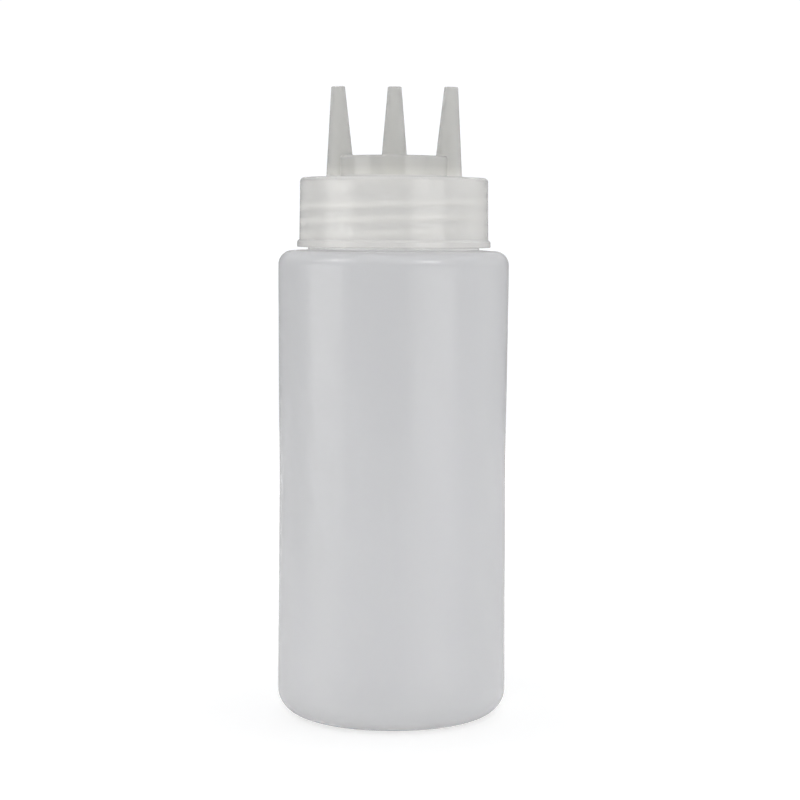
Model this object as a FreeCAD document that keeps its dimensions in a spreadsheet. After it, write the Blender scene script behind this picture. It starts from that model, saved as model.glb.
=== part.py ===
"""Squeeze bottle for sauces: a blow-moulded bottle and its screw cap with three pouring tips.

Frame: millimetres, +Z up, origin at the centre of the ring that the bottle stands on. The
three tips stand in one row along X. Each piece of the real object is one solid in one body:
  bottle  hollow blow-moulded bottle with its foot, waisted wall, shoulder and neck
  cap     injection-moulded cap with skirt, deck, hollow boss and three bored tips
The neck's helical thread isn't modelled; its height is kept because the cap's fit needs it.
"""
import FreeCAD, Part
import math
import os
from typing import NamedTuple

import Sketcher

TOUCHING = 0.0005  # millimetres: places nearer than this are the same place

# Every size that can be set by itself: alias, value in millimetres, degrees or shares, meaning.
SIZES = [
    # The bottle.
    ("body_radius", 33.0, "outer radius of the body under and over its waist"),
    ("waist_depth", 0.27, "how far the side wall draws in at its waist"),
    ("waist_start", 10.0, "height at which the side wall starts to draw in"),
    ("waist_stop", 11.0, "how far under the shoulder's corner the waist stops"),
    ("shoulder_height", 133.2, "height of the shoulder's outer corner"),
    ("shoulder_rise", 0.55, "rise of the shoulder from its corner to the neck"),
    ("shoulder_round", 4.0, "outer rounding of the shoulder's corner"),
    ("shoulder_share", 0.75, "most of the shoulder's width that this rounding may take"),
    ("foot_round", 7.0, "outer rounding between the side wall and the foot"),
    ("wall", 1.1, "wall of the blown body"),
    ("ring_width", 3.4, "width of the flat ring that the bottle stands on"),
    ("push_up_run", 2.4, "radial run of the step from that ring to the push-up"),
    ("push_up_height", 2.0, "height of the push-up at its rim"),
    ("push_up_dome", 0.8, "further rise of the push-up to its centre"),
    ("push_up_round", 1.2, "rounding of the push-up's step"),
    ("pinch_margin", 2.3, "how far the pinch-off seam ends short of the push-up's rim"),
    ("pinch_width", 0.9, "width of the pinch-off seam"),
    ("pinch_depth", 0.45, "how far the pinch-off seam hangs below the push-up's rim"),
    ("pinch_root", 0.15, "how deep the pinch-off seam is rooted in the push-up's centre"),
    ("neck_radius", 24.5, "outer radius of the neck under its thread"),
    ("neck_wall", 1.5, "wall of the neck"),
    ("neck_height", 18.85, "height of the neck above the shoulder"),
    ("neck_round", 0.3, "rounding between the shoulder and the neck"),
    ("rim_round", 0.4, "rounding of the neck's rim"),
    # The fit of the cap on the neck.
    ("thread_height", 0.7, "height of the neck's thread above the neck"),
    ("thread_clearance", 0.35, "radial play between that thread and the skirt"),
    ("shoulder_gap", 0.65, "gap left between the shoulder and the cap's lower edge"),
    ("land_height", 0.3, "height of the land under the deck that seals on the rim"),
    ("land_margin", 0.25, "how far the land reaches past the rim on each side"),
    # The cap.
    ("skirt_wall", 1.5, "wall of the skirt at its lower end"),
    ("skirt_draft", 0.2, "how much smaller the skirt's radius is at its top"),
    ("bead_height", 2.2, "height of the bead round the skirt's lower edge"),
    ("bead_proud", 0.65, "how far the bead stands out from the skirt"),
    ("bead_slope", 0.6, "height of the bead's sloping upper side"),
    ("bead_round", 0.3, "rounding of the bead's edges"),
    ("cap_wall", 1.3, "wall of the deck and of the boss"),
    ("cap_round", 1.2, "rounding between the skirt and the deck"),
    ("boss_radius", 15.65, "outer radius of the raised boss"),
    ("boss_height", 6.1, "height of the boss above the deck"),
    # The tips.
    ("tip_length", 25.8, "length of a tip along its axis, from the deck's top"),
    ("tip_root_radius", 4.125, "outer radius of a tip at the deck's top"),
    ("tip_end_radius", 1.965, "outer radius of a tip at its end"),
    ("tip_wall", 1.15, "wall of a tip at the deck's top"),
    ("orifice_radius", 1.0, "radius of the hole at a tip's end"),
    ("tip_inset", 0.35, "how far inside the boss's edge a side tip's axis starts"),
    ("tip_lean", 1.8, "outward lean of the side tips, in degrees"),
    ("tip_round", 0.7, "rounding of the boss's edge and of the roots of boss and tips"),
    ("end_round", 0.25, "rounding of a tip's end"),
    ("spigot_radius", 3.3, "outer radius of the middle tip's tube inside the boss"),
    ("overrun", 1.0, "how far a cutting profile runs past the bore's ends"),
]

# Places worked out from the sizes, as expressions of the sheet named dims.
SHOULDER_TOP = "(dims.shoulder_height + dims.shoulder_rise)"
RIM = f"({SHOULDER_TOP} + dims.neck_height)"
DECK_UNDER = f"({RIM} + dims.land_height)"
DECK_TOP = f"({DECK_UNDER} + dims.cap_wall)"
BOSS_TOP = f"({DECK_TOP} + dims.boss_height)"
CAP_EDGE = f"({SHOULDER_TOP} + dims.shoulder_gap)"
NECK_BORE = "(dims.neck_radius - dims.neck_wall)"
SKIRT_BORE = "(dims.neck_radius + dims.thread_height + dims.thread_clearance)"
SKIRT_RADIUS = f"({SKIRT_BORE} + dims.skirt_wall)"
BEAD_RADIUS = f"({SKIRT_RADIUS} + dims.bead_proud)"
INNER_RADIUS = "(dims.body_radius - dims.wall)"
RING_INNER = "(dims.body_radius - dims.foot_round - dims.ring_width)"
PUSH_UP_RADIUS = f"({RING_INNER} - dims.push_up_run)"
PUSH_UP_TOP = "(dims.push_up_height + dims.push_up_dome)"
SHOULDER_WIDTH = "(dims.body_radius - dims.neck_radius)"
SHOULDER_ROUND = f"min(dims.shoulder_round; {SHOULDER_WIDTH} * dims.shoulder_share)"
WAIST_TOP = "(dims.shoulder_height - dims.waist_stop)"
WAIST_HALF = f"(({WAIST_TOP} - dims.waist_start) / 2)"
WAIST_BOW = f"(({WAIST_HALF} ^ 2 + dims.waist_depth ^ 2) / (2 * dims.waist_depth))"

doc = FreeCAD.newDocument("SqueezeBottle")
dims = doc.addObject("Spreadsheet::Sheet", "dims")


def fill_sheet():
    """Write each size's name, plain number and meaning in a row of the sheet."""
    for row, (alias, size, meaning) in enumerate(SIZES, start=1):
        dims.set(f"A{row}", alias)
        dims.set(f"B{row}", str(size))
        dims.setAlias(f"B{row}", alias)
        dims.set(f"C{row}", meaning)
    doc.recompute()


def number(expression):
    """The present value of an expression of the sheet."""
    return float(dims.evalExpression(expression))


# ------------------------------------------------------------------ sketches and features

class Corner(NamedTuple):
    """A corner of an outline. Every field is an expression of the sheet."""
    across: str
    up: str
    rounding: str = ""  # radius of the arc that rounds this corner off
    bow: str = ""       # radius of the shallow arc that leaves it and bows towards the axis


def new_body(label):
    body = doc.addObject("PartDesign::Body", label)
    body.Label = label
    body.Placement = FreeCAD.Placement()
    return body


def origin_plane(body, role):
    return next(plane for plane in body.Origin.OriginFeatures if plane.Role == role)


def new_sketch(body, name, role="XZ_Plane"):
    """A sketch lying on one of its own body's origin planes."""
    sketch = body.newObject("Sketcher::SketchObject", name)
    sketch.AttachmentSupport = [(origin_plane(body, role), "")]
    sketch.MapMode = "FlatFace"
    return sketch


def tie_point(sketch, edge, end, corner):
    """Hold a point of the sketch at a corner's place."""
    for kind, axis, expression in (("DistanceX", -2, corner.across), ("DistanceY", -1, corner.up)):
        if expression == "0":
            sketch.addConstraint(Sketcher.Constraint("PointOnObject", edge, end, axis))
        else:
            size = number(expression)
            index = sketch.addConstraint(Sketcher.Constraint(kind, -1, 1, edge, end, size))
            sketch.setExpression(f"Constraints[{index}]", expression)


def tie_radius(sketch, edge, expression):
    index = sketch.addConstraint(Sketcher.Constraint("Radius", edge, number(expression)))
    sketch.setExpression(f"Constraints[{index}]", expression)


def add_line(sketch, start, stop):
    """A line, as its index and the numbers of its start and its stop."""
    return sketch.addGeometry(Part.LineSegment(start, stop)), 1, 2


def add_arc(sketch, start, middle, stop, radius):
    """An arc through three points, tied to its radius, as add_line gives a line."""
    edge = sketch.addGeometry(Part.Arc(start, middle, stop))
    tie_radius(sketch, edge, radius)
    if sketch.getPoint(edge, 1).distanceToPoint(start) < TOUCHING:
        return edge, 1, 2
    return edge, 2, 1


def bow_middle(start, stop, radius):
    """The middle of a shallow arc that bows towards the sketch's upright axis."""
    half_chord = (stop - start).Length / 2
    depth = radius - math.sqrt(radius ** 2 - half_chord ** 2)
    return (start + stop) / 2 - FreeCAD.Vector(depth, 0, 0)


def round_off(spots, index, radius):
    """Where the rounding of a corner starts, has its middle and stops."""
    spot = spots[index]
    back = (spots[index - 1] - spot).normalize()
    ahead = (spots[(index + 1) % len(spots)] - spot).normalize()
    half_angle = back.getAngle(ahead) / 2
    reach = radius / math.tan(half_angle)
    inward = (back + ahead).normalize() * (radius / math.sin(half_angle) - radius)
    return spot + back * reach, spot + inward, spot + ahead * reach


def join_edges(sketch, corner, spot, rounding, before, after):
    """Join two edges at a corner, or by the rounding that replaces it."""
    edge_before, _, last = before
    edge_after, first, _ = after
    if not rounding:
        joint = Sketcher.Constraint("Coincident", edge_before, last, edge_after, first)
        sketch.addConstraint(joint)
        tie_point(sketch, edge_after, first, corner)
        return
    point = sketch.addGeometry(Part.Point(spot), True)
    tie_point(sketch, point, 1, corner)
    arc, start, stop = add_arc(sketch, *rounding, corner.rounding)
    sketch.addConstraint([
        Sketcher.Constraint("PointOnObject", point, 1, edge_before),
        Sketcher.Constraint("PointOnObject", point, 1, edge_after),
        Sketcher.Constraint("Tangent", edge_before, last, arc, start),
        Sketcher.Constraint("Tangent", arc, stop, edge_after, first),
    ])


def draw_outline(sketch, corners):
    """Draw a closed outline through the corners and tie all of it to the sheet."""
    spots = [FreeCAD.Vector(number(c.across), number(c.up), 0) for c in corners]
    roundings = [
        round_off(spots, index, number(corner.rounding)) if corner.rounding else None
        for index, corner in enumerate(corners)
    ]
    edges = []
    for index, corner in enumerate(corners):
        following = (index + 1) % len(corners)
        start = roundings[index][2] if roundings[index] else spots[index]
        stop = roundings[following][0] if roundings[following] else spots[following]
        if corner.bow:
            middle = bow_middle(start, stop, number(corner.bow))
            edges.append(add_arc(sketch, start, middle, stop, corner.bow))
        else:
            edges.append(add_line(sketch, start, stop))
    for index, corner in enumerate(corners):
        join_edges(sketch, corner, spots[index], roundings[index], edges[index - 1], edges[index])
    if sketch.solve() != 0 or not sketch.FullyConstrained:
        raise RuntimeError(f"{sketch.Name} isn't fully constrained")


def turn(body, kind, name, sketch):
    """Turn a sketch about its upright axis: a Revolution adds, a Groove cuts."""
    feature = body.newObject(f"PartDesign::{kind}", name)
    feature.Profile = sketch
    feature.ReferenceAxis = (sketch, ["V_Axis"])
    feature.Angle = 360
    doc.recompute()
    return feature


# ------------------------------------------------------------------------- the bottle

def make_bottle():
    """The blown bottle: one turned wall of even thickness, thicker in the neck."""
    bottle = new_body("bottle")
    wall = new_sketch(bottle, "BottleWall")
    push_up_inside = "dims.push_up_height + dims.wall"
    shoulder_under = "dims.shoulder_height - dims.wall"
    outside = [
        Corner("0", PUSH_UP_TOP),
        Corner(PUSH_UP_RADIUS, "dims.push_up_height", "dims.push_up_round"),
        Corner(RING_INNER, "0", "dims.push_up_round"),
        Corner("dims.body_radius", "0", "dims.foot_round"),
        Corner("dims.body_radius", "dims.waist_start", bow=WAIST_BOW),
        Corner("dims.body_radius", WAIST_TOP),
        Corner("dims.body_radius", "dims.shoulder_height", SHOULDER_ROUND),
        Corner("dims.neck_radius", SHOULDER_TOP, "dims.neck_round"),
        Corner("dims.neck_radius", RIM, "dims.rim_round"),
    ]
    inside = [
        Corner(NECK_BORE, RIM, "dims.rim_round"),
        Corner(NECK_BORE, f"{SHOULDER_TOP} - dims.wall", "dims.neck_round + dims.wall"),
        Corner(INNER_RADIUS, shoulder_under, f"{SHOULDER_ROUND} - dims.wall"),
        Corner(INNER_RADIUS, WAIST_TOP, bow=f"{WAIST_BOW} + dims.wall"),
        Corner(INNER_RADIUS, "dims.waist_start"),
        Corner(INNER_RADIUS, "dims.wall", "dims.foot_round - dims.wall"),
        Corner(RING_INNER, "dims.wall", "dims.push_up_round"),
        Corner(PUSH_UP_RADIUS, push_up_inside, "dims.push_up_round"),
        Corner("0", f"{PUSH_UP_TOP} + dims.wall"),
    ]
    draw_outline(wall, outside + inside)
    turn(bottle, "Revolution", "BottleTurned", wall)
    add_pinch_seam(bottle)
    return bottle


def add_pinch_seam(bottle):
    """The seam that pinching the blown tube shut leaves across the push-up, along X."""
    seam = new_sketch(bottle, "PinchSeam", "XY_Plane")
    seam.setExpression("AttachmentOffset.Base.z", "dims.push_up_height - dims.pinch_depth")
    half_length = f"({PUSH_UP_RADIUS} - dims.pinch_margin)"
    half_width = "dims.pinch_width / 2"
    draw_outline(seam, [
        Corner(f"-{half_length}", f"-{half_width}"),
        Corner(half_length, f"-{half_width}"),
        Corner(half_length, half_width),
        Corner(f"-{half_length}", half_width),
    ])
    pad = bottle.newObject("PartDesign::Pad", "PinchPad")
    pad.Profile = seam
    pad.setExpression("Length", "dims.pinch_depth + dims.push_up_dome + dims.pinch_root")
    doc.recompute()


# ---------------------------------------------------------------------------- the cap

def make_cap():
    """The moulded cap: a turned shell, then three tips added and bored through."""
    cap = new_body("cap")
    shell = new_sketch(cap, "CapShell")
    boss_bore = "dims.boss_radius - dims.cap_wall"
    land_inner = f"{NECK_BORE} - dims.land_margin"
    land_outer = "dims.neck_radius + dims.land_margin"
    bead_top = f"{CAP_EDGE} + dims.bead_height"
    outside = [
        Corner(BEAD_RADIUS, CAP_EDGE, "dims.bead_round"),
        Corner(BEAD_RADIUS, f"{bead_top} - dims.bead_slope", "dims.bead_round"),
        Corner(SKIRT_RADIUS, bead_top),
        Corner(f"{SKIRT_RADIUS} - dims.skirt_draft", DECK_TOP, "dims.cap_round"),
        Corner("dims.boss_radius", DECK_TOP),
        Corner("dims.boss_radius", BOSS_TOP),
        Corner("0", BOSS_TOP),
    ]
    inside = [
        Corner("0", f"{BOSS_TOP} - dims.cap_wall"),
        Corner(boss_bore, f"{BOSS_TOP} - dims.cap_wall"),
        Corner(boss_bore, DECK_UNDER),
        Corner(land_inner, DECK_UNDER),
        Corner(land_inner, RIM),
        Corner(land_outer, RIM),
        Corner(land_outer, DECK_UNDER),
        Corner(SKIRT_BORE, DECK_UNDER),
        Corner(SKIRT_BORE, CAP_EDGE),
    ]
    draw_outline(shell, outside + inside)
    turn(cap, "Revolution", "CapTurned", shell)
    add_tips(cap)
    round_tips(cap)
    bore_tips(cap)
    return cap


def tip_sketch(cap, name, leaning):
    """A sketch whose upright axis is a tip's own, with its origin at the deck's top."""
    sketch = new_sketch(cap, name)
    sketch.setExpression("AttachmentOffset.Base.y", DECK_TOP)
    if leaning:
        sketch.setExpression("AttachmentOffset.Base.x", "dims.boss_radius - dims.tip_inset")
        sketch.setExpression("AttachmentOffset.Rotation.Angle", "-dims.tip_lean")
    return sketch


def mirror_side(cap, name, feature):
    """Repeat a side tip's feature on the other side of the cap."""
    mirrored = cap.newObject("PartDesign::Mirrored", name)
    mirrored.Originals = [feature]
    mirrored.MirrorPlane = (origin_plane(cap, "YZ_Plane"), [""])
    cap.Tip = mirrored
    doc.recompute()


def add_tips(cap):
    """Three cones that taper to open ends: one on the axis and one leaning out on each side.

    The side tips stand astride the boss's edge and reach down to the deck. The middle one
    stands on the boss, and its tube goes on down inside as a straight spigot.
    """
    boss_middle = "(dims.boss_height - dims.cap_wall / 2)"
    deck_middle = "dims.cap_wall / 2"
    taper = "((dims.tip_root_radius - dims.tip_end_radius) / dims.tip_length)"
    end = [
        Corner("dims.tip_end_radius", "dims.tip_length", "dims.end_round"),
        Corner("0", "dims.tip_length"),
    ]

    middle = tip_sketch(cap, "MiddleTip", False)
    draw_outline(middle, [
        Corner("0", "-dims.cap_wall"),
        Corner("dims.spigot_radius", "-dims.cap_wall"),
        Corner("dims.spigot_radius", boss_middle),
        Corner(f"dims.tip_root_radius - {taper} * {boss_middle}", boss_middle),
    ] + end)
    turn(cap, "Revolution", "MiddleTipTurned", middle)

    side = tip_sketch(cap, "SideTip", True)
    draw_outline(side, [
        Corner("0", f"-{deck_middle}"),
        Corner(f"dims.tip_root_radius + {taper} * {deck_middle}", f"-{deck_middle}"),
    ] + end)
    mirror_side(cap, "SideTipMirrored", turn(cap, "Revolution", "SideTipTurned", side))


def outside_part(face):
    """Which part of the unbored cap's upper side a face belongs to, or None."""
    surface = face.Surface
    height = face.CenterOfMass.z
    boss_top = number(BOSS_TOP)
    if isinstance(surface, Part.Cone):
        return "tip" if face.BoundBox.ZMax > boss_top + TOUCHING else None
    if isinstance(surface, Part.Cylinder):
        on_boss = abs(surface.Radius - number("dims.boss_radius")) < TOUCHING
        return "boss wall" if on_boss else None
    if isinstance(surface, Part.Plane):
        for part, level in (("deck", number(DECK_TOP)), ("boss top", boss_top)):
            if abs(height - level) < TOUCHING:
                return part
    return None


def edges_between(shape, *pairs):
    """Names of the edges where two of the cap's outside parts meet."""
    wanted = [set(pair) for pair in pairs]
    names = []
    for index, edge in enumerate(shape.Edges, start=1):
        sides = {outside_part(face) for face in shape.ancestorsOfType(edge, Part.Face)}
        if sides in wanted:
            names.append(f"Edge{index}")
    return names


def round_tips(cap):
    """Blend the tips and the boss into what they stand on, and ease the boss's edge."""
    base = cap.Tip
    roots = edges_between(
        base.Shape,
        ("tip", "deck"), ("tip", "boss wall"), ("tip", "boss top"),
        ("boss wall", "deck"), ("boss wall", "boss top"),
    )
    feature = cap.newObject("PartDesign::Fillet", "TipRoots")
    feature.Base = (base, roots)
    feature.setExpression("Radius", "dims.tip_round")
    doc.recompute()


def bore_tips(cap):
    """Open each tip from the cap's inside to its end with one long taper."""
    root = "dims.tip_root_radius - dims.tip_wall"
    bore = [
        Corner("0", "-dims.cap_wall - dims.overrun"),
        Corner(root, "-dims.cap_wall - dims.overrun"),
        Corner(root, "0"),
        Corner("dims.orifice_radius", "dims.tip_length"),
        Corner("dims.orifice_radius", "dims.tip_length + dims.overrun"),
        Corner("0", "dims.tip_length + dims.overrun"),
    ]
    middle = tip_sketch(cap, "MiddleBore", False)
    draw_outline(middle, bore)
    turn(cap, "Groove", "MiddleBored", middle)
    side = tip_sketch(cap, "SideBore", True)
    draw_outline(side, bore)
    mirror_side(cap, "SideBoreMirrored", turn(cap, "Groove", "SideBored", side))


# ------------------------------------------------------------------------ check and write

def check_document():
    """Stop if any object of the document failed to build."""
    for item in doc.Objects:
        broken = {"Invalid", "Error"} & set(item.State)
        if broken:
            raise RuntimeError(f"{item.Label} failed to build: {item.State}")


def write_piece(body):
    """Write a body's one solid to parts/, named after the body."""
    shape = body.Shape
    if shape.isNull() or not shape.isValid() or len(shape.Solids) != 1:
        raise RuntimeError(f"{body.Label} is not one valid solid")
    shape.exportStep(os.path.join("parts", f"{body.Label}.step"))
    print(f"{body.Label}: {shape.Volume:.1f} mm3, {shape.optimalBoundingBox()}")


fill_sheet()
pieces = [make_bottle(), make_cap()]
doc.recompute()
check_document()
os.makedirs("parts", exist_ok=True)
for piece in pieces:
    write_piece(piece)
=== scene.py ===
"""A translucent squeeze bottle for sauces with a three-tipped screw cap, on a pale floor.

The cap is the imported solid. The blown bottle is a finer mesh built here in the same shape,
with the neck's thread and the mould's parting line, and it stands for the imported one. The
cap's thread and the pinch seam under the foot are pieces of their own.
"""

import math

import bmesh
import bpy
from mathutils import Euler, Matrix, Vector


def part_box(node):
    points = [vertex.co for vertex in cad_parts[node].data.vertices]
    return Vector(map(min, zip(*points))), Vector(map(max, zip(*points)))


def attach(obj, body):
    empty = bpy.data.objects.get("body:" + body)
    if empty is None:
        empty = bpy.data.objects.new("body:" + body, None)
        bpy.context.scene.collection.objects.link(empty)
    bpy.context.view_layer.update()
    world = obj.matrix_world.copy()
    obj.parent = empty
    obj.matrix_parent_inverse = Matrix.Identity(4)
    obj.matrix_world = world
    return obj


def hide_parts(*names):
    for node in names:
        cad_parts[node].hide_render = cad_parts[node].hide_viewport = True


MM = 0.001
TINY = 1e-6

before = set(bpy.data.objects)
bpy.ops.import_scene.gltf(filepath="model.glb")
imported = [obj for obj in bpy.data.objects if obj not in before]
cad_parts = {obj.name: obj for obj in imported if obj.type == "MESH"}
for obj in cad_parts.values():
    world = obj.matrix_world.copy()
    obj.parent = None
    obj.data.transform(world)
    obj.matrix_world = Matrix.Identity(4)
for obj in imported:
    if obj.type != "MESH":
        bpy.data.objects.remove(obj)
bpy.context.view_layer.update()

# ---------------------------------------------------------------- sizes, in millimetres

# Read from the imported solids.
BODY_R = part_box("bottle")[1].x / MM
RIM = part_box("bottle")[1].z / MM
CAP_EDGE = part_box("cap")[0].z / MM

# The rest of the bottle's profile, as in the part's own source. The waist starts this far
# above the floor and stops this far below the shoulder.
WALL = 1.1
WAIST_DEPTH, WAIST_START, WAIST_STOP = 0.27, 10.0, 11.0
NECK_HEIGHT = 18.85
SHOULDER_RISE, SHOULDER_ROUND = 0.55, 4.0
NECK_R, NECK_WALL = 24.5, 1.5
NECK_ROUND, RIM_ROUND = 0.3, 0.4
FOOT_ROUND, RING_WIDTH = 7.0, 3.4
PUSH_RUN, PUSH_HEIGHT, PUSH_DOME, PUSH_ROUND = 2.4, 2.0, 0.8, 1.2

SHOULDER_TOP = RIM - NECK_HEIGHT
SHOULDER = SHOULDER_TOP - SHOULDER_RISE
INNER_R = BODY_R - WALL
NECK_BORE = NECK_R - NECK_WALL
RING_INNER = BODY_R - FOOT_ROUND - RING_WIDTH
PUSH_R = RING_INNER - PUSH_RUN
WAIST_TOP = SHOULDER - WAIST_STOP

# What moulding leaves: a pinch seam, a parting line and a slightly uneven wall.
PINCH_MARGIN, PINCH_WIDTH, PINCH_DEPTH, PINCH_ROOT, PINCH_ROUND = 2.3, 0.9, 0.45, 0.15, 0.2
PARTING_HEIGHT = 0.1
WAVE_HEIGHT, WAVE_SWAY = 0.06, 2.0
WAVE_TWIST, WAVE_BACK_TWIST, WAVE_RUN = 19, 31, 9

# Threads. Both are right-handed and start at the back, the cap's a little below the neck's.
# A base and a crest are half widths. A fade, in turns, is how long each end takes to run out.
THREAD_PITCH, THREAD_HEIGHT, THREAD_TURNS = 4.0, 0.7, 2.9
THREAD_BACK = 0.25
NECK_THREAD_START = SHOULDER_TOP + 3.95
NECK_THREAD_BASE, NECK_THREAD_CREST, NECK_THREAD_FADE = 1.15, 0.3, 0.09
NECK_THREAD_LOW, NECK_THREAD_HIGH = SHOULDER_TOP + 1, RIM - 0.6
CAP_THREAD_START = NECK_THREAD_START - 1.2
CAP_THREAD_BASE, CAP_THREAD_CREST, CAP_THREAD_FADE = 1.0, 0.3, 0.08
CAP_THREAD_ROOT, CAP_THREAD_SINK = 0.12, 0.05
SKIRT_BORE = 25.55

# How finely the meshes are cut, and how near to a wall's radius counts as on it.
SEGMENTS = 288
THREAD_STEP, WALL_STEP, OTHER_STEP = 0.22, 3.0, 1.6
CAP_THREAD_STEPS_A_TURN = 160
NEAR_WALL = 0.5


# ------------------------------------------------------------------------ profile maths

def arc_points(before, corner, after, radius, step_deg=9.0):
    """Points of the arc that rounds the corner between two neighbours."""
    c = Vector(corner)
    back, ahead = (Vector(before) - c).normalized(), (Vector(after) - c).normalized()
    half = back.angle(ahead) / 2
    reach = radius / math.tan(half)
    centre = c + (back + ahead).normalized() * (radius / math.sin(half))
    start, stop = c + back * reach - centre, c + ahead * reach - centre
    sweep = start.angle(stop)
    steps = max(2, math.ceil(math.degrees(sweep) / step_deg))
    points = []
    for i in range(steps + 1):
        t = i / steps
        a = math.sin((1 - t) * sweep) / math.sin(sweep)
        b = math.sin(t * sweep) / math.sin(sweep)
        points.append(centre + start * a + stop * b)
    return points


def rounded(corners):
    """A polyline of (radius, height) points through corners given as (r, z, rounding)."""
    spots = [Vector(c[:2]) for c in corners]
    line = []
    for i, corner in enumerate(corners):
        if corner[2]:
            line += arc_points(spots[i - 1], spots[i], spots[i + 1], corner[2])
        else:
            line.append(spots[i])
    return line


def refined(line, step):
    """The polyline with points added so that none are further apart than step(r, z)."""
    points = [line[0]]
    for a, b in zip(line, line[1:]):
        middle = (a + b) / 2
        parts = max(1, math.ceil((b - a).length / step(middle.x, middle.y)))
        points += [a.lerp(b, k / parts) for k in range(1, parts + 1)]
    return points


def smooth(edge0, edge1, x):
    """Rises smoothly from 0 at the first edge to 1 at the second."""
    t = min(max((x - edge0) / (edge1 - edge0), 0.0), 1.0)
    return t * t * (3 - 2 * t)


def run_out(along, fade):
    """A thread's share of its full height at a place in turns: it fades out at both ends."""
    return smooth(0, fade, along) * smooth(0, fade, THREAD_TURNS - along)


# -------------------------------------------------------------------------------- meshes

def smooth_mesh(name, verts, faces):
    """A smooth-shaded mesh."""
    mesh = bpy.data.meshes.new(name)
    mesh.from_pydata(verts, [], faces)
    mesh.validate()
    mesh.polygons.foreach_set("use_smooth", [True] * len(mesh.polygons))
    return mesh


def placed(name, data):
    """A new object in the scene that holds a mesh, a lamp or a camera."""
    thing = bpy.data.objects.new(name, data)
    bpy.context.scene.collection.objects.link(thing)
    return thing


def revolve(name, line, move):
    """A closed piece turned from a line that starts and ends on the axis."""
    verts, rings = [], []
    for r, z in line:
        if r < TINY:
            rings.append([len(verts)])
            verts.append((0.0, 0.0, z * MM))
            continue
        rings.append(range(len(verts), len(verts) + SEGMENTS))
        for k in range(SEGMENTS):
            a = 2 * math.pi * k / SEGMENTS
            rr, zz = move(a, r, z)
            verts.append((rr * math.cos(a) * MM, rr * math.sin(a) * MM, zz * MM))
    faces = []
    for low, high in zip(rings, rings[1:]):
        for k in range(SEGMENTS):
            j = (k + 1) % SEGMENTS
            if len(low) == 1:
                faces.append((low[0], high[j], high[k]))
            elif len(high) == 1:
                faces.append((low[k], low[j], high[0]))
            else:
                faces.append((low[k], low[j], high[j], high[k]))
    return placed(name, smooth_mesh(name, verts, faces))


# ---------------------------------------------------------------------- the blown bottle

def waist(z):
    """How far the side wall is drawn in at a height."""
    half = (WAIST_TOP - WAIST_START) / 2
    t = (z - WAIST_START - half) / half
    return WAIST_DEPTH * max(0.0, 1 - t * t)


def wave(angle, z):
    """The slight unevenness of a blown wall, always inwards."""
    around = math.sin(2 * angle + z / WAVE_TWIST) * math.cos(3 * angle - z / WAVE_BACK_TWIST)
    along = math.sin(z / WAVE_RUN + math.sin(angle) * WAVE_SWAY)
    return WAVE_HEIGHT * (2 + around + along)


def parting(angle, z):
    """The mould's parting line, a faint ridge up both sides where the two halves met."""
    on_line = abs(math.sin(angle)) < TINY
    return min(PARTING_HEIGHT, waist(z)) if on_line else 0.0


def neck_thread(turn, z):
    """How far the neck's helical ridge stands out, for an angle in turns from its start."""
    best = 0.0
    for k in range(math.ceil(THREAD_TURNS) + 1):
        along = turn % 1.0 + k
        if along > THREAD_TURNS:
            continue
        away = abs(z - (NECK_THREAD_START + THREAD_PITCH * along))
        if away < NECK_THREAD_BASE:
            slope = 1 - smooth(NECK_THREAD_CREST, NECK_THREAD_BASE, away)
            best = max(best, run_out(along, NECK_THREAD_FADE) * slope)
    return best * THREAD_HEIGHT


def on_thread_zone(z):
    """Whether a height is where the neck carries its thread."""
    return NECK_THREAD_LOW < z < NECK_THREAD_HIGH


def bottle_step(r, z):
    """How far apart the profile's points may be, which is finest where the thread is."""
    if r > NECK_R - NEAR_WALL and on_thread_zone(z):
        return THREAD_STEP
    if r > INNER_R - NEAR_WALL:
        return WALL_STEP
    return OTHER_STEP


def bottle_surface(angle, r, z):
    """Moves a point of the turned profile to where the real surface is."""
    if abs(r - NECK_R) < TINY and on_thread_zone(z):
        return r + neck_thread(angle / (2 * math.pi) - THREAD_BACK, z), z
    if r > INNER_R - NEAR_WALL and WAIST_START < z < WAIST_TOP:
        drawn_in = waist(z)
        r -= drawn_in + wave(angle, z) * drawn_in / WAIST_DEPTH
        if r > INNER_R:
            r += parting(angle, z)
    return r, z


def make_bottle():
    """The blown bottle, from under its foot, up the outside and down the inside."""
    profile = rounded([
        (0, PUSH_HEIGHT + PUSH_DOME, 0),
        (PUSH_R, PUSH_HEIGHT, PUSH_ROUND),
        (RING_INNER, 0, PUSH_ROUND),
        (BODY_R, 0, FOOT_ROUND),
        (BODY_R, SHOULDER, SHOULDER_ROUND),
        (NECK_R, SHOULDER_TOP, NECK_ROUND),
        (NECK_R, RIM, RIM_ROUND),
        (NECK_BORE, RIM, RIM_ROUND),
        (NECK_BORE, SHOULDER_TOP - WALL, NECK_ROUND + WALL),
        (INNER_R, SHOULDER - WALL, SHOULDER_ROUND - WALL),
        (INNER_R, WALL, FOOT_ROUND - WALL),
        (RING_INNER, WALL, PUSH_ROUND),
        (PUSH_R, PUSH_HEIGHT + WALL, PUSH_ROUND),
        (0, PUSH_HEIGHT + PUSH_DOME + WALL, 0),
    ])
    piece = revolve("bottle_blown", refined(profile, bottle_step), bottle_surface)
    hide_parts("bottle")
    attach(piece, "root")
    return piece


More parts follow.
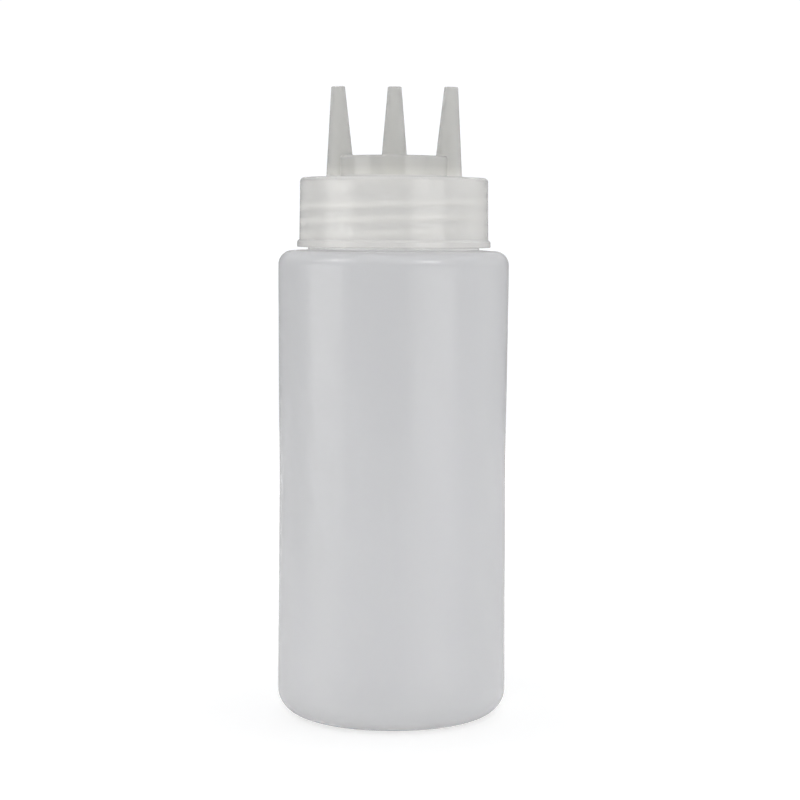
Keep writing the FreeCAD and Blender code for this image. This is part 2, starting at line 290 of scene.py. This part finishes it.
def make_pinch_seam():
    """The bar across the push-up where the mould pinched the blown tube shut."""
    length = 2 * (PUSH_R - PINCH_MARGIN)
    height = PINCH_DEPTH + PUSH_DOME + PINCH_ROOT
    low = PUSH_HEIGHT - PINCH_DEPTH
    shape = bmesh.new()
    bmesh.ops.create_cube(shape, size=1.0)
    bmesh.ops.scale(shape, vec=(length * MM, PINCH_WIDTH * MM, height * MM), verts=shape.verts)
    bmesh.ops.translate(shape, vec=(0, 0, (low + height / 2) * MM), verts=shape.verts)
    bmesh.ops.bevel(
        shape, geom=shape.edges, offset=PINCH_ROUND * MM, segments=3, profile=0.5, affect="EDGES"
    )
    mesh = bpy.data.meshes.new("pinch_seam")
    shape.to_mesh(mesh)
    shape.free()
    piece = placed("pinch_seam", mesh)
    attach(piece, "root")
    return piece


# ------------------------------------------------------------------------ the cap's thread

def cap_thread_section(height):
    """The ridge's section as (inwards, up) points, from its lower root over its crest."""
    upper = [
        (height, CAP_THREAD_CREST * 0.5),
        (height * 0.9, CAP_THREAD_CREST * 1.3),
        (height * 0.55, CAP_THREAD_BASE * 0.7),
        (0, CAP_THREAD_BASE),
        (-CAP_THREAD_ROOT, CAP_THREAD_BASE),
    ]
    lower = [(inward, -up) for inward, up in reversed(upper)]
    return lower + upper


def make_cap_thread():
    """The ridge inside the skirt, one closed coil rooted a little way in the skirt's wall."""
    steps = int(THREAD_TURNS * CAP_THREAD_STEPS_A_TURN)
    sides = len(cap_thread_section(THREAD_HEIGHT))
    verts, faces = [], []
    for i in range(steps + 1):
        along = THREAD_TURNS * i / steps
        a = 2 * math.pi * (along + THREAD_BACK)
        z = CAP_THREAD_START + THREAD_PITCH * along
        risen = run_out(along, CAP_THREAD_FADE) * (THREAD_HEIGHT + CAP_THREAD_SINK)
        for inward, up in cap_thread_section(risen - CAP_THREAD_SINK):
            r = SKIRT_BORE - inward
            verts.append((r * math.cos(a) * MM, r * math.sin(a) * MM, (z + up) * MM))
    for i in range(steps):
        here, ahead = i * sides, (i + 1) * sides
        for k in range(sides):
            j = (k + 1) % sides
            faces.append((here + k, here + j, ahead + j, ahead + k))
    faces.append(tuple(range(sides - 1, -1, -1)))
    faces.append(tuple(steps * sides + k for k in range(sides)))
    piece = placed("cap_thread", smooth_mesh("cap_thread", verts, faces))
    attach(piece, "root")
    return piece


# ----------------------------------------------------------------------------- materials

NOISE_LOW, NOISE_HIGH = 0.3, 0.7


class Nodes:
    """A short way to add nodes to one material."""

    def __init__(self, name):
        self.material = bpy.data.materials.new(name)
        self.material.use_nodes = True
        self.tree = self.material.node_tree
        self.shader = self.tree.nodes["Principled BSDF"]

    def add(self, kind, inputs=None, **settings):
        """A node with its settings, and with a link or a value for each input given."""
        node = self.tree.nodes.new(kind)
        for key, value in settings.items():
            setattr(node, key, value)
        for socket, source in (inputs or {}).items():
            if isinstance(source, bpy.types.NodeSocket):
                self.tree.links.new(source, node.inputs[socket])
            else:
                node.inputs[socket].default_value = source
        return node

    def into(self, socket, source):
        """Links a node's output to the shader."""
        self.tree.links.new(source, self.shader.inputs[socket])

    def fix(self, socket, value):
        """Sets a value that is the same all over."""
        self.shader.inputs[socket].default_value = value

    def place(self):
        """Where a point is on its own object, in metres."""
        return self.add("ShaderNodeTexCoord").outputs["Object"]

    def noise(self, scale, detail=2.0, stretch=(1, 1, 1)):
        mapped = self.add("ShaderNodeMapping", {"Vector": self.place(), "Scale": stretch})
        inputs = {"Vector": mapped.outputs[0], "Scale": scale, "Detail": detail}
        return self.add("ShaderNodeTexNoise", inputs).outputs["Fac"]

    def mapped(self, value, start, stop, low, high):
        """Turns a value between start and stop into one between low and high."""
        inputs = {"Value": value, "From Min": start, "From Max": stop, "To Min": low, "To Max": high}
        return self.add("ShaderNodeMapRange", inputs).outputs["Result"]

    def mixed(self, share, first, second, blend="MIX"):
        """The first colour where the share is 0, blended with the second where it is 1."""
        factor, a, b, result = 0, 6, 7, 2
        inputs = {factor: share, a: first, b: second}
        node = self.add("ShaderNodeMix", inputs, data_type="RGBA", blend_type=blend)
        return node.outputs[result]

    def cloudy(self, noise, low, high):
        """A colour that wanders between two."""
        ramp = self.add("ShaderNodeValToRGB", {"Fac": noise})
        ends = ramp.color_ramp.elements
        ends[0].position, ends[1].position = NOISE_LOW, NOISE_HIGH
        ends[0].color, ends[1].color = low, high
        return ramp.outputs["Color"]

    def painted_light_and_shade_above(self, colour, start, stop, tint):
        """The colour, with a tint that sets in between two heights: painted light where it lightens,
        painted shade where it darkens.
        """
        height = self.add("ShaderNodeSeparateXYZ", {0: self.place()}).outputs["Z"]
        share = self.mapped(height, start * MM, stop * MM, 0.0, 1.0)
        return self.mixed(share, colour, tint, "MULTIPLY")


def plastic(name, low, high, transmission, roughness, spread, painted_light_and_shade=()):
    """Milky polyethylene. Each tint is a height where it starts, one where it is full, a colour, and
    paints light where it lightens and shade where it darkens.
    """
    nodes = Nodes(name)
    colour = nodes.cloudy(nodes.noise(scale=18, detail=3, stretch=(1, 1, 0.35)), low, high)
    for start, stop, tint in painted_light_and_shade:
        colour = nodes.painted_light_and_shade_above(colour, start, stop, tint)
    nodes.into("Base Color", colour)
    gloss = nodes.noise(scale=60, detail=3)
    least, most = roughness - spread, roughness + spread
    nodes.into("Roughness", nodes.mapped(gloss, NOISE_LOW, NOISE_HIGH, least, most))
    grain = {"Height": nodes.noise(scale=420, detail=2), "Strength": 0.08, "Distance": 0.0002}
    nodes.into("Normal", nodes.add("ShaderNodeBump", grain).outputs[0])
    nodes.fix("IOR", 1.51)
    nodes.fix("Transmission Weight", transmission)
    nodes.fix("Subsurface Weight", 1.0)
    nodes.fix("Subsurface Radius", (1.0, 1.0, 1.0))
    nodes.fix("Subsurface Scale", 0.0015)
    return nodes


def wear(piece, nodes):
    """Gives a piece this material in place of those it has."""
    piece.data.materials.clear()
    piece.data.materials.append(nodes.material)


# Painted light: lighter in the gap under the cap, where the neck lies in shade, and back to about its
# own colour behind the cap's skirt.
bottle_plastic = plastic(
    "bottle_polyethylene",
    low=(0.812, 0.816, 0.829, 1),
    high=(0.832, 0.836, 0.848, 1),
    transmission=0.55,
    roughness=0.22,
    spread=0.025,
    painted_light_and_shade=[
        (SHOULDER_TOP - 0.05, SHOULDER_TOP + 0.25, (1.16, 1.16, 1.15, 1)),
        (CAP_EDGE + 0.6, CAP_EDGE + 1.2, (0.84, 0.84, 0.85, 1)),
    ],
)

# Painted shade: greyer from the boss up, so that the boss and tips look darker than the skirt. The tint
# sets in over the boss's lower half.
cap_plastic = plastic(
    "cap_polyethylene",
    low=(0.965, 0.958, 0.926, 1),
    high=(0.985, 0.978, 0.95, 1),
    transmission=0.66,
    roughness=0.14,
    spread=0.02,
    painted_light_and_shade=[(RIM + 1.9, RIM + 4.9, (0.825, 0.83, 0.842, 1))],
)

# Denser and shinier than the rest of the cap, so that it shows through the skirt.
thread_plastic = plastic(
    "thread_polyethylene",
    low=(0.98, 0.975, 0.95, 1),
    high=(0.99, 0.985, 0.965, 1),
    transmission=0.05,
    roughness=0.12,
    spread=0.02,
)
thread_plastic.fix("Subsurface Scale", 0.0002)
thread_plastic.fix("Specular IOR Level", 1.0)
thread_plastic.fix("Coat Weight", 1.0)
thread_plastic.fix("Coat Roughness", 0.08)

wear(make_bottle(), bottle_plastic)
wear(make_pinch_seam(), bottle_plastic)
wear(make_cap_thread(), thread_plastic)
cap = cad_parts["cap"]
wear(cap, cap_plastic)


# ----------------------------------------------------- floor, light and camera, in metres

FLOOR_HALF = 0.8
# Distance from the middle, and how strongly the floor glows there.
GLOW_NEAR, GLOW_FAR = (0.05, 0.2), (0.25, 0.5)
LAMPS_AIM = Vector((0, 0, 0.1))
SKY_FRONT, SKY_BACK = -0.6, 0.7
WARM, WARMISH = (1.0, 0.985, 0.96), (1.0, 0.985, 0.965)


def make_floor():
    """A pale floor that ends in the backdrop.

    To the camera it also glows, more so further off, and so it turns white.
    """
    h = FLOOR_HALF
    mesh = bpy.data.meshes.new("floor")
    mesh.from_pydata([(-h, -h, 0), (h, -h, 0), (h, h, 0), (-h, h, 0)], [], [(0, 1, 2, 3)])
    floor = placed("floor", mesh)
    nodes = Nodes("floor_paper")
    to_camera = nodes.add("ShaderNodeLightPath").outputs["Is Camera Ray"]
    paper = nodes.cloudy(nodes.noise(scale=3), (0.95, 0.95, 0.95, 1), (0.97, 0.97, 0.97, 1))
    nodes.into("Base Color", nodes.mixed(to_camera, (0.9, 0.9, 0.9, 1), paper))
    away = nodes.add("ShaderNodeVectorMath", {0: nodes.place()}, operation="LENGTH").outputs["Value"]
    glow = nodes.mapped(away, GLOW_NEAR[0], GLOW_FAR[0], GLOW_NEAR[1], GLOW_FAR[1])
    seen = nodes.add("ShaderNodeMath", {0: to_camera, 1: glow}, operation="MULTIPLY")
    nodes.into("Emission Strength", seen.outputs[0])
    nodes.fix("Emission Color", (1, 1, 1, 1))
    nodes.fix("Roughness", 0.9)
    nodes.fix("Specular IOR Level", 0.1)
    wear(floor, nodes)


def make_box(name, azimuth, distance, height, size, power, colour=(1, 1, 1)):
    """A soft box that faces the bottle. Azimuth 0 is in front and 90 to the right.

    It casts no shadow, because a shadow here would stop at the first wall, and light goes on
    through these plastics. For the same reason a box may reach below the floor.
    """
    a = math.radians(azimuth)
    data = bpy.data.lights.new(name, "AREA")
    data.shape = "RECTANGLE"
    data.size, data.size_y = size
    data.energy = power
    data.color = colour
    data.use_shadow = False
    light = placed(name, data)
    light.location = (distance * math.sin(a), -distance * math.cos(a), height)
    light.rotation_mode = "QUATERNION"
    light.rotation_quaternion = (LAMPS_AIM - light.location).to_track_quat("-Z", "Y")


def make_overhead(strength, spread):
    """A very soft light from overhead, which casts no shadow either."""
    data = bpy.data.lights.new("overhead", "SUN")
    data.energy, data.angle = strength, math.radians(spread)
    data.use_shadow = False
    light = placed("overhead", data)
    light.rotation_euler = (math.radians(-8), math.radians(6), 0)


def make_world(seen, front, back):
    """A slightly cool sky that is brighter, and so white, to the camera than to the object.

    Its front and back are equally bright here, but the ramp between them isn't idle: without
    it the same bottle renders about three levels brighter.
    """
    world = bpy.data.worlds.new("studio")
    world.use_nodes = True
    tree = world.node_tree
    place = tree.nodes.new("ShaderNodeTexCoord")
    parts = tree.nodes.new("ShaderNodeSeparateXYZ")
    ramp = tree.nodes.new("ShaderNodeMapRange")
    ramp.interpolation_type = "SMOOTHSTEP"
    ends = {"From Min": SKY_FRONT, "From Max": SKY_BACK, "To Min": front, "To Max": back}
    for name, value in ends.items():
        ramp.inputs[name].default_value = value
    path = tree.nodes.new("ShaderNodeLightPath")
    mix = tree.nodes.new("ShaderNodeMix")
    factor, a, b, result = 0, 2, 3, 0
    mix.inputs[b].default_value = seen
    sky = tree.nodes["Background"].inputs
    tree.links.new(place.outputs["Generated"], parts.inputs[0])
    tree.links.new(parts.outputs["Y"], ramp.inputs["Value"])
    tree.links.new(path.outputs["Is Camera Ray"], mix.inputs[factor])
    tree.links.new(ramp.outputs["Result"], mix.inputs[a])
    tree.links.new(mix.outputs[result], sky["Strength"])
    sky["Color"].default_value = (0.975, 0.985, 1.0, 1)
    bpy.context.scene.world = world


def make_camera():
    """A long lens a little over half a metre in front, just above the cap's lower edge."""
    data = bpy.data.cameras.new("camera")
    data.lens, data.sensor_width = 92.25, 36.0
    data.clip_start, data.clip_end = 0.05, 50.0
    camera = placed("camera", data)
    camera.location = (0.0, -0.589, 0.141)
    pitch, yaw, roll = math.radians(-4.9), math.radians(-0.2), math.radians(0.35)
    look = Euler((math.pi / 2 + pitch, 0, yaw)).to_matrix()
    turn = Euler((0, 0, roll)).to_matrix()
    camera.rotation_mode = "QUATERNION"
    camera.rotation_quaternion = (look @ turn).to_quaternion()
    bpy.context.scene.camera = camera


make_floor()
make_world(seen=1.05, front=0.44, back=0.44)
make_overhead(strength=0.86, spread=140)
make_box("left_box", azimuth=-70, distance=1.0, height=-0.1, size=(0.75, 0.8), power=2.8, colour=WARM)
make_box("left_top", azimuth=-68, distance=1.0, height=0.95, size=(0.4, 0.25), power=1.85, colour=WARM)
make_box("right_box", azimuth=42, distance=1.1, height=-0.1, size=(0.85, 0.8), power=3.2, colour=WARMISH)
make_box("right_top", azimuth=38, distance=1.1, height=1.0, size=(0.45, 0.25), power=2.2, colour=WARMISH)
make_box("side_box", azimuth=95, distance=1.0, height=-0.1, size=(0.9, 0.8), power=0.8)
make_box("fill_box", azimuth=-10, distance=1.3, height=-0.45, size=(1.6, 0.8), power=0.4)
make_camera()

view = bpy.context.scene.view_settings
view.view_transform = "Standard"
view.look = "None"
